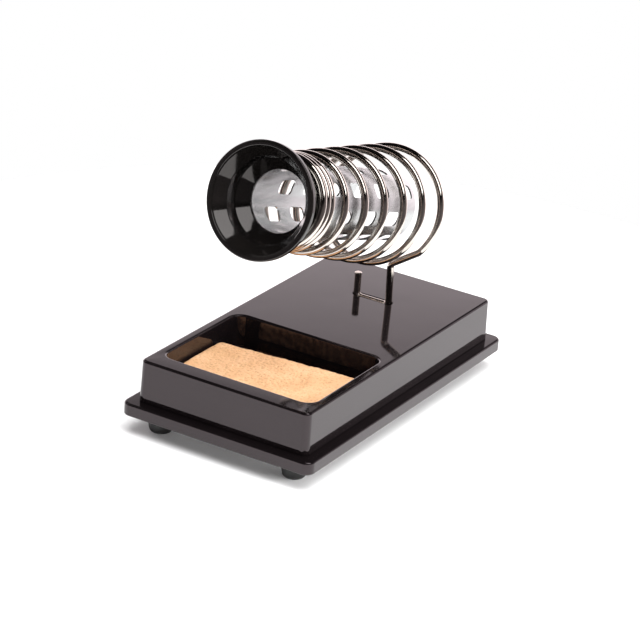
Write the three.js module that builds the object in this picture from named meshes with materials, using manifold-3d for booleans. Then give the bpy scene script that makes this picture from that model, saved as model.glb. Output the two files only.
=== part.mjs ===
// A soldering iron stand: a weighted base with a sponge well, and a coiled wire holder
// with a black mouthpiece and a perforated heat tube that the hot iron is pushed into.
//
// Frame: millimetres, +Z up, origin under the middle of the base where the feet rest.
// The sponge and the mouth face -Y. +X is the side of the wire's long leg.

import * as THREE from "three";
import { mergeVertices } from "three/addons/utils/BufferGeometryUtils.js";
import Module from "manifold-3d";

const wasm = await Module();
wasm.setup();

// ---------------------------------------------------------------- driving dimensions

const footHeight = 8;
const footRadius = 5.6;
const footInsetX = 14.3; // foot centre in from the plate's side
const footInsetY = 11.9; // foot centre in from the plate's end

const bodyLength = 165; // top of the housing, along Y
const bodyWidth = 87.4; // top of the housing, along X
const bodyDraft = 0.37; // each side wall leans out by this much at its foot
const bodyCorner = 3.2;
const bodyEdge = 0.9; // softened edge round the top
const wall = 2.4;
const topWall = 2.6;

const plateHeight = 6;
const plateStep = 5.2; // the plate stands out this far past the foot of the body
const plateCorner = 4.5;
const plateEdge = 0.8;
const plateFloor = 2.6;
const plateSideWall = 10.6; // solid margin beside the ballast pocket
const plateEndWall = 19.6; // solid margin in front of and behind it
const pocketCorner = 3;

const wellLength = 62; // opening, along Y
const wellSideRim = 4.7; // housing between each side and the opening
const wellFrontRim = 10; // housing between the front edge and the opening
const wellCorner = 6;
const wellDepth = 16;
const wellWall = 2;
const wellDraft = 0.8; // the well narrows by this much on each side at its floor

const spongeLength = 44;
const spongeSpare = 1.2; // width left over at its right side
const spongeHeight = 9.6;
const spongeCorner = 3.4;

const ballastHeight = 4;
const ballastCorner = 2;
const ballastScrewInset = 12; // screw centre in from the slab's end

const wireDiameter = 3.4;
const holderTilt = THREE.MathUtils.degToRad(17.2); // the axis falls towards the back
const mouthFromFront = 25.6; // mouth centre behind the front of the plate
const mouthHeight = 80.9; // mouth centre above the top of the housing
const mouthRadius = 26.3;
const boreStep = 2.8; // the bore is this much less in radius than the heat tube
const boreDepth = 18;

const neckWall = 0.7;
const neckLength = 13;
const tubeRadius = 16.7;
const tubeLength = 98;
const tubeWall = 0.8;
const sleeveWall = 0.5;
const windowLength = 12.5;
const windowWidth = 7;
const windowCorner = 2.2;
const windowMargin = 0.8; // sheet left between the neck and the first window
const windowPitch = 23;
const windowRows = 8;

const coilBackRadius = 29.7; // outer
const openTurns = 5.25;
const openPitch = 16.6;
const easeTurns = 1;
const easePitch = 11;
const closeTurns = 2.4;
const coilLean = THREE.MathUtils.degToRad(5.9); // the turns lean back from square

const legSpan = 17.4; // between the two upright wire centres
const legBehindMouth = 108.57; // the uprights' place behind the mouth's centre
const postHeight = 11; // cut end of the short post above the housing
const wireProud = 0.4; // the cross wire's top above the housing
const wireBend = 2.7; // centre-line radius of the bends
const elbowRise = 0.3; // the leg's top bend above the first point of the coil

// ---------------------------------------------------------------- clearances

const touchGap = 0.3; // between pieces that rest on each other
const slotGap = 0.35; // each side of the wire in its slot
const screwGap = 0.25;
const spongeGap = 0.9; // sponge to the nearest walls of the well
const ballastSideGap = 5.67; // ballast to the sides of its pocket
const ballastEndGap = 4.47;
const trayGap = 1.1; // ballast to the underside of the well
const neckGap = 0.35; // tube in the mouthpiece's neck
const turnGap = 0.35; // between the close turns, and round what they grip
const sleeveGap = 0.3; // sleeve on the mouthpiece's neck
const screwTipRoom = 6; // from the tip of a foot screw to the underside of the top
const cutOverrun = 1; // cutters stand this far past the face that they open

// ---------------------------------------------------------------- worked-out places

const plateBottom = footHeight;
const plateTop = plateBottom + plateHeight;
const ballastBottom = plateBottom + plateFloor + touchGap;
const bodyHeight = ballastBottom + ballastHeight + trayGap + wellWall + wellDepth - plateTop;
const bodyBottom = plateTop + touchGap;
const bodyTop = plateTop + bodyHeight;
const plateLength = bodyLength + 2 * (bodyDraft + plateStep);
const plateWidth = bodyWidth + 2 * (bodyDraft + plateStep);
const footX = plateWidth / 2 - footInsetX;
const footY = plateLength / 2 - footInsetY;
const pocketWidth = plateWidth - 2 * plateSideWall;
const pocketLength = plateLength - 2 * plateEndWall;
const ballastWidth = pocketWidth - 2 * ballastSideGap;
const ballastLength = pocketLength - 2 * ballastEndGap;

const wellWidth = bodyWidth - 2 * wellSideRim; // opening, along X
const wellFront = -bodyLength / 2 + wellFrontRim;
const wellMiddle = wellFront + wellLength / 2;
const wellFloor = bodyTop - wellDepth;
const spongeWidth = wellWidth - 2 * (wellDraft + spongeGap) - spongeSpare;

const wireRadius = wireDiameter / 2;
const crossWireZ = bodyTop - wireRadius + wireProud;
const slotWidth = wireDiameter + 2 * slotGap;
const slotLength = legSpan + wireDiameter + 2 * slotGap;
const slotCorner = slotWidth / 2 - 0.01; // all but a half circle at each end

const mouthCentre = new THREE.Vector3(0, -plateLength / 2 + mouthFromFront, bodyTop + mouthHeight);
const legBack = mouthCentre.y + legBehindMouth;
const boreRadius = tubeRadius - boreStep;
const neckEnd = boreDepth + neckLength;
const tubeStart = boreDepth + touchGap;

const neckInner = tubeRadius + neckGap;
const neckRadius = neckInner + neckWall;
const neckStart = boreDepth - 3; // behind the funnel's shoulder
const sleeveRadius = neckRadius + sleeveGap + sleeveWall;

const closePitch = wireDiameter + turnGap;
const coilFrontRadius = sleeveRadius + turnGap + wireDiameter; // outer
const coilFrontDepth = neckStart + turnGap + wireRadius; // the wire's end, along the axis
const coilBackDepth = coilFrontDepth + closeTurns * closePitch + easeTurns * easePitch + openTurns * openPitch;

const screw = {
  shank: 1.5,
  head: 2.9,
  headHeight: 2,
  headRim: 0.5,
  tipLength: 1,
  tipRadius: 0.4,
  driverLength: 3.6,
  driverWidth: 0.9,
  driverDepth: 0.8,
};
const washer = { outer: 3.6, thickness: 0.7, room: 0.4 };
const screwHole = screw.shank + screwGap;
const bossRadius = 3.6;
const plateBossRadius = 5.1;
const plateBossDrop = 0.5; // the plate's bosses end this far under its top
const footEdge = 0.6;
const holeRoof = 3; // solid boss left above a foot screw's hole
const roundSteps = 28;

// ---------------------------------------------------------------- solids

// The closed solid inside a geometry, moved by a matrix if one is given.
function solid(geometry, matrix) {
  const bare = geometry.index ? geometry.toNonIndexed() : geometry.clone();
  bare.deleteAttribute("normal");
  bare.deleteAttribute("uv");
  if (matrix) bare.applyMatrix4(matrix);
  const merged = mergeVertices(bare, 1e-4);
  return new wasm.Manifold(
    new wasm.Mesh({
      numProp: 3,
      vertProperties: merged.attributes.position.array,
      triVerts: new Uint32Array(merged.index.array),
    }),
  );
}

// The geometry of a solid, ready for a mesh.
function shape(manifold) {
  const { vertProperties, triVerts, numProp } = manifold.getMesh();
  const positions = new Float32Array(triVerts.length * 3);
  triVerts.forEach((vertex, i) => {
    for (let axis = 0; axis < 3; axis += 1) {
      positions[3 * i + axis] = vertProperties[numProp * vertex + axis];
    }
  });
  const geometry = new THREE.BufferGeometry();
  geometry.setAttribute("position", new THREE.BufferAttribute(positions, 3));
  geometry.computeVertexNormals();
  return geometry;
}

const lift = (x, y, z) => new THREE.Matrix4().makeTranslation(x, y, z);

// A rounded rectangle centred on the origin.
function roundedRectangle(width, length, corner) {
  const x = width / 2;
  const y = length / 2;
  const outline = new THREE.Shape();
  outline.moveTo(x, -y + corner);
  outline.lineTo(x, y - corner);
  outline.absarc(x - corner, y - corner, corner, 0, Math.PI / 2);
  outline.lineTo(-x + corner, y);
  outline.absarc(-x + corner, y - corner, corner, Math.PI / 2, Math.PI);
  outline.lineTo(-x, -y + corner);
  outline.absarc(-x + corner, -y + corner, corner, Math.PI, 1.5 * Math.PI);
  outline.lineTo(x - corner, -y);
  outline.absarc(x - corner, -y + corner, corner, 1.5 * Math.PI, 2 * Math.PI);
  return outline;
}

// A rounded block standing on z = 0.
function roundedBlock(width, length, height, corner, curveSegments = 6) {
  const outline = roundedRectangle(width, length, corner);
  return new THREE.ExtrudeGeometry(outline, { depth: height, bevelEnabled: false, curveSegments });
}

// A rounded block whose walls grow out by spread at the bottom, with a softened top edge.
// A negative edge flares the top instead.
function draftedBlock(width, length, height, corner, spread, edge) {
  const rings = [
    { z: 0, grow: spread },
    { z: height - edge, grow: 0 },
    { z: height - 0.3 * edge, grow: -0.3 * edge },
    { z: height, grow: -edge },
  ];
  const steps = rings.length - 1;
  const geometry = new THREE.ExtrudeGeometry(roundedRectangle(width, length, corner), {
    depth: height,
    steps,
    bevelEnabled: false,
    curveSegments: 6,
  });
  const position = geometry.getAttribute("position");
  for (let i = 0; i < position.count; i += 1) {
    const ring = rings[Math.round((position.getZ(i) / height) * steps)];
    position.setX(i, position.getX(i) * (1 + (2 * ring.grow) / width));
    position.setY(i, position.getY(i) * (1 + (2 * ring.grow) / length));
    position.setZ(i, ring.z);
  }
  return geometry;
}

// A round bar along Z, standing on z = 0.
function bar(radius, height, segments = roundSteps) {
  const geometry = new THREE.CylinderGeometry(radius, radius, height, segments);
  return geometry.rotateX(Math.PI / 2).translate(0, 0, height / 2);
}

// A turned piece about +Y from (radius, distance along Y) pairs, in order round the section.
function turned(profile, segments = roundSteps) {
  const points = profile.map(([radius, along]) => new THREE.Vector2(radius, along));
  points.push(points[0].clone());
  return new THREE.LatheGeometry(points, segments);
}

// ---------------------------------------------------------------- materials

function finish(color, roughness, metalness) {
  return new THREE.MeshStandardMaterial({ color, roughness, metalness });
}

const blackPlastic = finish(0x1b1718, 0.12, 0);
const blackPhenolic = finish(0x121010, 0.15, 0);
const nickelWire = finish(0xc9c2bd, 0.18, 1);
const brightSteel = finish(0xc4c6c8, 0.25, 1);
const darkSteel = finish(0x6d6f72, 0.5, 1);
const zincSteel = finish(0xb4b6b0, 0.35, 1);
const blackRubber = finish(0x141414, 0.8, 0);
const spongeYellow = finish(0xe2bd8b, 0.95, 0);

const stand = new THREE.Group();

function add(name, geometry, material, parent = stand) {
  const mesh = new THREE.Mesh(geometry, material);
  mesh.name = name;
  parent.add(mesh);
  return mesh;
}

const corners = [
  { place: "front_left", x: -footX, y: -footY },
  { place: "front_right", x: footX, y: -footY },
  { place: "back_left", x: -footX, y: footY },
  { place: "back_right", x: footX, y: footY },
];

// ---------------------------------------------------------------- housing

// The wire socket hangs on two bosses under the slot and carries the cross wire.
const socket = {
  width: 11,
  corner: 2.5,
  blockCorner: 1,
  earThickness: 2.4,
  bossHeight: 4,
  bossRadius: 3.2,
  bossClearance: 0.6,
  blockLength: slotLength + 3,
};
socket.screwX = socket.blockLength / 2 + socket.bossRadius + socket.bossClearance;
socket.length = 2 * (socket.screwX + socket.bossRadius);
socket.top = bodyTop - topWall - touchGap;
socket.earTop = socket.top - socket.bossHeight;
socket.bottom = socket.earTop - socket.earThickness;
socket.groove = socket.top - (crossWireZ - wireRadius - touchGap);

function baseHousing() {
  const height = bodyTop - bodyBottom;
  let body = solid(
    draftedBlock(bodyWidth, bodyLength, height, bodyCorner, bodyDraft, bodyEdge),
    lift(0, 0, bodyBottom),
  );
  const hollow = roundedBlock(bodyWidth - 2 * wall, bodyLength - 2 * wall, height - topWall, bodyCorner / 2);
  body = body.subtract(solid(hollow, lift(0, 0, bodyBottom)));

  const trayHeight = wellDepth + wellWall - topWall / 2;
  const tray = roundedBlock(
    wellWidth + 2 * wellWall,
    wellLength + 2 * wellWall,
    trayHeight,
    wellCorner + wellWall,
  );
  body = body.add(solid(tray, lift(0, wellMiddle, wellFloor - wellWall)));
  for (const { x, y } of corners) {
    body = body.add(solid(bar(bossRadius, height - topWall / 2, 24), lift(x, y, bodyBottom)));
  }
  for (const side of [-1, 1]) {
    const boss = bar(socket.bossRadius, socket.bossHeight + topWall / 2, 20);
    body = body.add(solid(boss, lift(side * socket.screwX, legBack, socket.earTop + touchGap)));
  }

  const well = draftedBlock(
    wellWidth - 2 * wellDraft,
    wellLength - 2 * wellDraft,
    wellDepth + cutOverrun,
    wellCorner,
    0,
    -wellDraft,
  );
  body = body.subtract(solid(well, lift(0, wellMiddle, wellFloor)));

  const slot = roundedBlock(slotLength, slotWidth, bodyHeight, slotCorner);
  body = body.subtract(solid(slot, lift(0, legBack, bodyTop - topWall - cutOverrun)));

  const holeDepth = bodyHeight - topWall - holeRoof;
  for (const { x, y } of corners) {
    const hole = bar(screwHole, holeDepth + cutOverrun, 20);
    body = body.subtract(solid(hole, lift(x, y, bodyBottom - cutOverrun)));
  }
  for (const side of [-1, 1]) {
    const hole = bar(screwHole, socket.bossHeight + 2 * cutOverrun, 16);
    body = body.subtract(solid(hole, lift(side * socket.screwX, legBack, socket.earTop - cutOverrun)));
  }
  return shape(body);
}
add("base_housing", baseHousing(), blackPlastic);

// ---------------------------------------------------------------- base plate and ballast

const ballastScrewY = ballastLength / 2 - ballastScrewInset;

function basePlate() {
  let plate = solid(
    draftedBlock(plateWidth, plateLength, plateHeight, plateCorner, 0, plateEdge),
    lift(0, 0, plateBottom),
  );
  const pocket = roundedBlock(pocketWidth, pocketLength, plateHeight, pocketCorner);
  plate = plate.subtract(solid(pocket, lift(0, 0, plateBottom + plateFloor)));
  for (const { x, y } of corners) {
    const boss = bar(plateBossRadius, plateHeight - plateBossDrop, 24);
    plate = plate.add(solid(boss, lift(x, y, plateBottom)));
    const hole = bar(screwHole, plateHeight + 2 * cutOverrun, 20);
    plate = plate.subtract(solid(hole, lift(x, y, plateBottom - cutOverrun)));
  }
  for (const side of [-1, 1]) {
    const hole = bar(screwHole, plateHeight + 2 * cutOverrun, 20);
    plate = plate.subtract(solid(hole, lift(0, side * ballastScrewY, plateBottom - cutOverrun)));
  }
  return shape(plate);
}
add("base_plate", basePlate(), blackPlastic);

function ballastPlate() {
  let slab = solid(roundedBlock(ballastWidth, ballastLength, ballastHeight, ballastCorner));
  for (const side of [-1, 1]) {
    const hole = bar(screwHole, ballastHeight + 2 * cutOverrun, 20);
    slab = slab.subtract(solid(hole, lift(0, side * ballastScrewY, -cutOverrun)));
  }
  return shape(slab);
}
add("ballast_plate", ballastPlate(), darkSteel).position.z = ballastBottom;

// ---------------------------------------------------------------- screws, washers, feet

// A pan-head screw pointing up, its head's underside at z = 0.
function screwShape(length) {
  const profile = [
    [0, -screw.headHeight],
    [screw.head - screw.headRim, -screw.headHeight],
    [screw.head, -screw.headHeight + screw.headRim],
    [screw.head, 0],
    [screw.shank, 0],
    [screw.shank, length - screw.tipLength],
    [screw.tipRadius, length],
    [0, length],
  ];
  const points = profile.map(([radius, along]) => new THREE.Vector2(radius, along));
  const body = solid(new THREE.LatheGeometry(points, 16).rotateX(Math.PI / 2));
  const along = new THREE.BoxGeometry(screw.driverWidth, screw.driverLength, 2 * screw.driverDepth);
  const across = new THREE.BoxGeometry(screw.driverLength, screw.driverWidth, 2 * screw.driverDepth);
  const driver = solid(along).add(solid(across)).translate([0, 0, -screw.headHeight]);
  return shape(body.subtract(driver));
}

const footSeat = 3.6; // the screw's washer sits this far above the floor
const headSeat = footSeat + touchGap + washer.thickness;

function footShape() {
  const open = washer.outer + washer.room;
  const profile = [
    [open, 0],
    [footRadius - footEdge, 0],
    [footRadius, footEdge],
    [footRadius, footHeight - touchGap],
    [screwHole, footHeight - touchGap],
    [screwHole, headSeat],
    [open, headSeat],
  ];
  return turned(profile).rotateX(Math.PI / 2);
}

function washerShape() {
  const profile = [
    [screwHole, 0],
    [washer.outer, 0],
    [washer.outer, washer.thickness],
    [screwHole, washer.thickness],
  ];
  return turned(profile, 20).rotateX(Math.PI / 2);
}

const washerBottom = headSeat - washer.thickness - touchGap;
const footScrewSeat = washerBottom - touchGap;
const footScrewLength = bodyBottom + bodyHeight - topWall - screwTipRoom - footScrewSeat;
for (const { place, x, y } of corners) {
  add(`foot_${place}`, footShape(), blackRubber).position.set(x, y, 0);
  add(`foot_washer_${place}`, washerShape(), zincSteel).position.set(x, y, washerBottom);
  add(`foot_screw_${place}`, screwShape(footScrewLength), zincSteel).position.set(x, y, footScrewSeat);
}

const ballastScrewLength = plateFloor + ballastHeight + 1;
for (const [place, side] of [["front", -1], ["back", 1]]) {
  const mesh = add(`ballast_screw_${place}`, screwShape(ballastScrewLength), zincSteel);
  mesh.position.set(0, side * ballastScrewY, plateBottom - touchGap);
}

// ---------------------------------------------------------------- wire socket

function wireSocket() {
  const height = socket.top - socket.bottom;
  let bracket = solid(roundedBlock(socket.length, socket.width, socket.earThickness, socket.corner));
  bracket = bracket.add(solid(roundedBlock(socket.blockLength, socket.width, height, socket.blockCorner)));
  const groove = roundedBlock(slotLength, slotWidth, height, slotCorner);
  bracket = bracket.subtract(solid(groove, lift(0, 0, height - socket.groove)));
  for (const side of [-1, 1]) {
    const hole = bar(screwHole, socket.earThickness + 2 * cutOverrun, 16);
    bracket = bracket.subtract(solid(hole, lift(side * socket.screwX, 0, -cutOverrun)));
  }
  return shape(bracket);
}
add("wire_socket", wireSocket(), zincSteel).position.set(0, legBack, socket.bottom);

const socketScrewLength = socket.earThickness + socket.bossHeight;
for (const [place, side] of [["left", -1], ["right", 1]]) {
  const mesh = add(`socket_screw_${place}`, screwShape(socketScrewLength), zincSteel);
  mesh.position.set(side * socket.screwX, legBack, socket.bottom - touchGap);
}

// ---------------------------------------------------------------- sponge

// It lies in the front left corner of the well.
const sponge = roundedBlock(spongeWidth, spongeLength, spongeHeight, spongeCorner, 3);
add("sponge", sponge, spongeYellow).position.set(
  -wellWidth / 2 + wellDraft + spongeGap + spongeWidth / 2,
  wellFront + wellDraft + spongeGap + spongeLength / 2,
  wellFloor + touchGap,
);

// ---------------------------------------------------------------- iron holder

// Pieces turned about the holder's axis: +Y runs from the mouth down towards the back.
const holder = new THREE.Group();
holder.position.copy(mouthCentre);
holder.rotation.x = -holderTilt;
stand.add(holder);

// A funnel with a rolled rim, a step inside, and a neck that the heat tube pushes into.
function mouthpiece() {
  const profile = [
    [mouthRadius - 1.4, -1.2],
    [mouthRadius - 0.4, -0.6],
    [mouthRadius, 0.5],
    [mouthRadius - 0.8, 1.8],
    [neckRadius + 1.4, neckStart - 1.4],
    [neckRadius, neckStart],
    [neckRadius, neckEnd],
    [neckInner, neckEnd],
    [neckInner, boreDepth],
    [boreRadius, boreDepth],
    [boreRadius, boreDepth - 1.5],
    [boreRadius + 4.9, 11.4],
    [boreRadius + 5.3, 10.8],
    [boreRadius + 5.5, 5.2],
    [boreRadius + 5.9, 4.2],
    [mouthRadius - 2.9, -0.1],
    [mouthRadius - 2.2, -1],
  ];
  return turned(profile, 48);
}
add("mouthpiece", mouthpiece(), blackPhenolic, holder);

// The heat tube is rolled sheet with staggered rows of round-cornered windows.
function heatTube() {
  const outer = tubeRadius;
  const inner = tubeRadius - tubeWall;
  const profile = [
    [inner, 0],
    [outer, 0],
    [outer, tubeLength],
    [inner, tubeLength],
  ];
  let tube = solid(turned(profile, 48));
  const cutter = roundedBlock(windowWidth, windowLength, outer + cutOverrun, windowCorner, 1);
  const firstWindow = neckEnd - tubeStart + windowMargin + windowLength / 2;
  const lastWindow = tubeLength - tubeWall - windowLength / 2;
  for (let row = 0; row < windowRows; row += 1) {
    const stagger = row % 2 === 0 ? windowPitch / 2 : 0;
    const turn = new THREE.Matrix4().makeRotationY((2 * Math.PI * (row + 0.25)) / windowRows);
    for (let y = firstWindow + stagger; y < lastWindow; y += windowPitch) {
      tube = tube.subtract(solid(cutter, turn.clone().multiply(lift(0, y, 0))));
    }
  }
  return shape(tube);
}
add("heat_tube", heatTube(), brightSteel, holder).position.y = tubeStart;

// A plain sheet sleeve on the neck, which the closest turns of the coil grip.
function neckSleeve() {
  const inner = neckRadius + sleeveGap;
  const start = neckStart + touchGap;
  const profile = [
    [inner, start],
    [sleeveRadius, start],
    [sleeveRadius, neckEnd],
    [inner, neckEnd],
  ];
  return turned(profile, 48);
}
add("neck_sleeve", neckSleeve(), brightSteel, holder);

// ---------------------------------------------------------------- coil wire

const middleLine = (front, back, share) => front + (back - front) * share;

// A point of the coil, by turns counted forwards from where the leg joins.
// Turn -0.25 is the lowest point of a turn, 0 its +X side, 0.25 its top.
function coilPoint(turn) {
  const travelled = turn + 0.25;
  const eased = Math.min(Math.max(travelled - openTurns, 0), easeTurns);
  const closed = Math.max(travelled - openTurns - easeTurns, 0);
  const open = Math.min(travelled, openTurns);
  const along = coilBackDepth - open * openPitch - eased * easePitch - closed * closePitch;
  const share = Math.min(travelled / (openTurns + easeTurns), 1);
  const radius = middleLine(coilBackRadius, coilFrontRadius, share) - wireRadius;
  const angle = 2 * Math.PI * turn;
  const up = radius * Math.sin(angle);
  return new THREE.Vector3(
    radius * Math.cos(angle),
    along + up * Math.sin(coilLean),
    up * Math.cos(coilLean),
  );
}

// Points round a bend of the wire at corner, from the side of before to the side of after.
function bendPoints(before, corner, after, radius, steps = 4) {
  const into = corner.clone().sub(before).normalize();
  const out = after.clone().sub(corner).normalize();
  const half = into.angleTo(out) / 2;
  const reach = radius * Math.tan(half);
  const start = corner.clone().addScaledVector(into, -reach);
  const end = corner.clone().addScaledVector(out, reach);
  const arc = new THREE.QuadraticBezierCurve3(start, corner, end);
  return arc.getPoints(steps);
}

// A curve through its points, with one step between each pair of them.
class WirePath extends THREE.CatmullRomCurve3 {
  getUtoTmapping(u) {
    return u;
  }
}

function coilWire() {
  const stepsPerTurn = 22;
  const leaveTurn = -0.2;
  const lastTurn = openTurns + easeTurns + closeTurns - 0.25;
  const steps = Math.round((lastTurn - leaveTurn) * stepsPerTurn);
  const coil = [];
  holder.updateMatrix();
  for (let i = 0; i <= steps; i += 1) {
    const turn = middleLine(leaveTurn, lastTurn, i / steps);
    coil.push(coilPoint(turn).applyMatrix4(holder.matrix));
  }

  const legX = legSpan / 2;
  const elbow = coil[0].clone();
  elbow.z += elbowRise;
  const legFoot = new THREE.Vector3(legX, legBack, crossWireZ);
  const postFoot = new THREE.Vector3(-legX, legBack, crossWireZ);
  const postTop = new THREE.Vector3(-legX, legBack, bodyTop + postHeight);
  const legMiddle = legFoot.clone().lerp(elbow, 0.5);
  const points = [
    postTop,
    ...bendPoints(postTop, postFoot, legFoot, wireBend),
    ...bendPoints(postFoot, legFoot, elbow, wireBend),
    legMiddle,
    ...bendPoints(legFoot, elbow, coil[2], wireBend, 3),
    ...coil.slice(2),
  ];
  const section = new THREE.Shape().absarc(0, 0, wireRadius, 0, 2 * Math.PI);
  return new THREE.ExtrudeGeometry(section, {
    extrudePath: new WirePath(points, false, "centripetal"),
    steps: points.length - 1,
    curveSegments: 4,
    bevelEnabled: false,
  });
}
add("coil_wire", coilWire(), nickelWire);

export default stand;
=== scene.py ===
"""Looks for the soldering iron stand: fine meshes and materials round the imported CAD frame.

Lengths are in millimetres and are multiplied by MM where they reach Blender. The pieces that
replace a CAD node use the same driving sizes as that node, placed from its box in the frame.
"""

import math

import bmesh
import bpy
from mathutils import Matrix, Vector, noise


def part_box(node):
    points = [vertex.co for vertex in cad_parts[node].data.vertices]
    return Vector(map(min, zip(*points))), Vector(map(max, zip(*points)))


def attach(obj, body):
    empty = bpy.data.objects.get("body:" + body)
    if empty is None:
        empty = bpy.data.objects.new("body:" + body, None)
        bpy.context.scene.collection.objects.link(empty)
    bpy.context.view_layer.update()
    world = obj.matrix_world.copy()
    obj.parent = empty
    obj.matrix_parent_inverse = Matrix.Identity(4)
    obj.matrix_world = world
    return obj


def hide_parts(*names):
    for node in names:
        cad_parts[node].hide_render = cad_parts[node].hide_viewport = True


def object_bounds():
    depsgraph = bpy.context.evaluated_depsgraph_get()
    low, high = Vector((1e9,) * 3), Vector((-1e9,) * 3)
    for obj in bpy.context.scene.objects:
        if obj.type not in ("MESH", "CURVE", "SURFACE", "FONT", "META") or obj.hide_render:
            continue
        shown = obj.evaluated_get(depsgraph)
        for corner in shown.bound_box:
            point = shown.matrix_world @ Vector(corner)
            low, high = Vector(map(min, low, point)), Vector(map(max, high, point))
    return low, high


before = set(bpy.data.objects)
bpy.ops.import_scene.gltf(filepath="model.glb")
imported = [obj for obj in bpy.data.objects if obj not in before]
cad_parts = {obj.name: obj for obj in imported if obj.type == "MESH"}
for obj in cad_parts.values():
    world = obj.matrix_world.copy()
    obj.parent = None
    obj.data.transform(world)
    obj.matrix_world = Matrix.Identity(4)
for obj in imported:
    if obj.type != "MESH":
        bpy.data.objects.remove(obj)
cad_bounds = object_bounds()

MM = 0.001


# ------------------------------------------------------------------ sizes, in millimetres

def box_mm(node):
    """A node's low and high corners."""
    low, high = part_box(node)
    return low / MM, high / MM


def middle_xy(node):
    """Where a node stands on the base."""
    low, high = box_mm(node)
    return (low.x + high.x) / 2, (low.y + high.y) / 2


HOUSING_LOW, HOUSING_HIGH = box_mm("base_housing")
PLATE_LOW, PLATE_HIGH = box_mm("base_plate")
SPONGE_LOW, SPONGE_HIGH = box_mm("sponge")
CORNERS = ("front_left", "front_right", "back_left", "back_right")
FOOT_SCREWS = [middle_xy("foot_screw_" + corner) for corner in CORNERS]
BALLAST_SCREWS = [middle_xy("ballast_screw_" + end) for end in ("front", "back")]
SOCKET_SCREWS = [middle_xy("socket_screw_" + side) for side in ("left", "right")]
SCREW_HOLE = 1.75

BODY_DRAFT = 0.37
BODY_HALF_X = HOUSING_HIGH.x - BODY_DRAFT
BODY_HALF_Y = HOUSING_HIGH.y - BODY_DRAFT
BODY_TOP = HOUSING_HIGH.z
BODY_CORNER = 3.2
BODY_EDGE = 1.1
WALL = 2.4
TOP_WALL = 2.6
FOOT_BOSS_RADIUS = 3.6
SOCKET_BOSS_RADIUS = 3.2
SOCKET_BOSS_HEIGHT = 4.0
FOOT_HOLE_ROOF = TOP_WALL + 3.0
SOCKET_HOLE_ROOF = TOP_WALL - 0.7
SLOT_LIP = 0.35
SLOT_END_FLAT = 0.01  # keeps the points of the slot's round ends apart
WELL_LIP = 1.0
WELL_FILLET = 1.6

PLATE_CORNER = 4.5
PLATE_TOP_EDGE = 1.0
PLATE_BOTTOM_EDGE = 0.6
PLATE_FLOOR = 2.6
POCKET_SIDE_WALL = 10.6
POCKET_END_WALL = 19.6
POCKET_CORNER = 3.0

FOOT_RECESS = 4.0
FOOT_SEAT = 4.6

SPONGE_GRID = 0.62
SPONGE_EDGE = 1.3
SPONGE_CORNER = 3.0
SPONGE_WARP = 1.7
SPONGE_WAVE = 0.35
SPONGE_SINK = 0.12
SPONGE_PORES = [
    {"scale": 0.42, "shift": (0, 0, 0), "reach": 0.33, "depth": 1.6},
    {"scale": 1.1, "shift": (7, 3, 1), "reach": 0.3, "depth": 0.7},
]
TORN_DEPTH = 1.5
TORN_PULL = 0.5
TORN_JAG = 0.9

WELL_HALF_X = 39.0
WELL_HALF_Y = 31.0
WELL_FRONT_RIM = 10.0
WELL_MIDDLE = -BODY_HALF_Y + WELL_FRONT_RIM + WELL_HALF_Y
WELL_CORNER = 6.0
WELL_FLOOR_CORNER = 1.5
WELL_DEPTH = 16.0
WELL_DRAFT = 0.8
WELL_WALL = 2.0

WIRE_RADIUS = 1.7
LEG_BACK = 46.1
LEG_HALF_SPAN = 8.7
POST_HEIGHT = 11.0
WIRE_PROUD = 0.4
WIRE_BEND = 2.7
SLOT_CLEARANCE = 0.35
SLOT_HALF_WIDTH = WIRE_RADIUS + SLOT_CLEARANCE
SLOT_HALF_LENGTH = LEG_HALF_SPAN + SLOT_HALF_WIDTH

HOLDER_TILT = math.radians(17.2)
MOUTH = Vector((0, PLATE_LOW.y + 25.6, BODY_TOP + 80.9))
MOUTH_RADIUS = 26.3
BORE_RADIUS = 13.9
BORE_DEPTH = 18.0
NECK_INNER = 17.05
NECK_RADIUS = 17.75
NECK_START = BORE_DEPTH - 3.0
NECK_END = BORE_DEPTH + 13.0
SLEEVE_CLEARANCE = 0.3
SLEEVE_INNER = NECK_RADIUS + SLEEVE_CLEARANCE
SLEEVE_WALL = 0.5
SLEEVE_START = NECK_START + SLEEVE_CLEARANCE

TUBE_RADIUS = 16.7
TUBE_CLEARANCE = 0.3
TUBE_START = BORE_DEPTH + TUBE_CLEARANCE
TUBE_LENGTH = 98.0
TUBE_WALL = 0.8
WINDOW_LENGTH = 12.5
WINDOW_WIDTH = 7.0
WINDOW_PITCH = 23.0
WINDOW_ROWS = 8
WINDOW_CORNER = 2.2
WINDOW_BEHIND_NECK = 0.8
FIRST_WINDOW = NECK_END - TUBE_START + WINDOW_BEHIND_NECK + WINDOW_LENGTH / 2
LAST_WINDOW = TUBE_LENGTH - TUBE_WALL - WINDOW_LENGTH / 2

COIL_FRONT_RADIUS = 22.3
COIL_BACK_RADIUS = 29.7
COIL_BACK_DEPTH = 124.2
OPEN_TURNS = 5.25
OPEN_PITCH = 16.6
EASE_TURNS = 1.0
EASE_PITCH = 11.0
CLOSE_TURNS = 2.4
CLOSE_PITCH = 3.75
TURNS_BEHIND_LEG = 0.25
FIRST_TURN = -0.2
LAST_TURN = OPEN_TURNS + EASE_TURNS + CLOSE_TURNS - TURNS_BEHIND_LEG
POINTS_PER_TURN = 88
JOINED_POINT = 8
ELBOW_LIFT = 0.3
WIRE_CHAMFER = 0.3
COIL_LEAN = math.radians(5.9)

# The holder's own axes: +Y runs from the mouth down towards the back.
HOLDER = Matrix.Translation(MOUTH) @ Matrix.Rotation(-HOLDER_TILT, 4, "X")


# ------------------------------------------------------------------ studio sizes, in metres

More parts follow.
